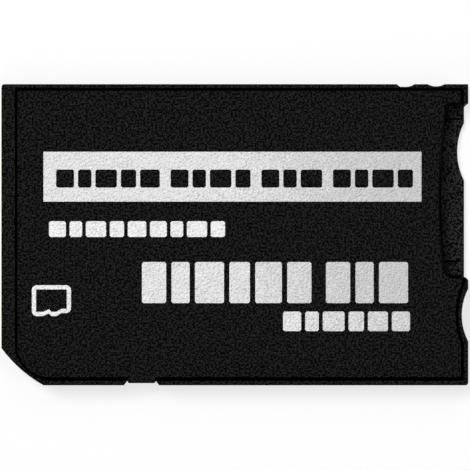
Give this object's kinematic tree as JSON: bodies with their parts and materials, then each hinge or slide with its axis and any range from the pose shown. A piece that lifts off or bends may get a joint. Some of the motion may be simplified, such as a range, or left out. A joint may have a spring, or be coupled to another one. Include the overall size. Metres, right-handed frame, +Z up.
{
  "type": "memory card adapter",
  "caption": "Flat black card adapter: inset label panel in a rimmed housing, micro card slot at one end and gold contacts under the other.",
  "frame": {"origin": "centre of the footprint, on the underside", "axes": "+X along the length towards the card slot, +Y across the width, +Z up through the label face"},
  "size_m": [0.031, 0.02, 0.0016],
  "materials": {
    "housing_plastic": "fine spark-eroded grain, black",
    "cover_plastic": "fine spark-eroded grain, black",
    "white_ink": "pad-printed ink, slightly uneven",
    "board_laminate": "green solder mask over glass laminate",
    "gold_plate": "gold over nickel, bright",
    "spring_metal": "stamped phosphor bronze, gold flash",
    "carrier_plastic": "black high-temperature plastic",
    "black_epoxy": "cured epoxy drop, satin",
    "capacitor_ceramic": "fired ceramic with tinned ends",
    "resistor_body": "glazed black film with tinned ends"
  },
  "bodies": {
    "root": {"bottom_housing": "housing_plastic", "capacitor_1": "capacitor_ceramic", "capacitor_2": "capacitor_ceramic", "capacitor_3": "capacitor_ceramic", "card_contact_spring_1": "spring_metal", "card_contact_spring_2": "spring_metal", "card_contact_spring_3": "spring_metal", "card_contact_spring_4": "spring_metal", "card_contact_spring_5": "spring_metal", "card_contact_spring_6": "spring_metal", "card_contact_spring_7": "spring_metal", "card_contact_spring_8": "spring_metal", "circuit_board": "board_laminate", "contact_carrier": "carrier_plastic", "controller_epoxy_drop": "black_epoxy", "host_contact_01": "gold_plate", "host_contact_02": "gold_plate", "host_contact_03": "gold_plate", "host_contact_04": "gold_plate", "host_contact_05": "gold_plate", "host_contact_06": "gold_plate", "host_contact_07": "gold_plate", "host_contact_08": "gold_plate", "host_contact_09": "gold_plate", "host_contact_10": "gold_plate", "label_print": "white_ink", "resistor_1": "resistor_body", "resistor_2": "resistor_body", "top_cover": "cover_plastic"}
  },
  "joints": []
}
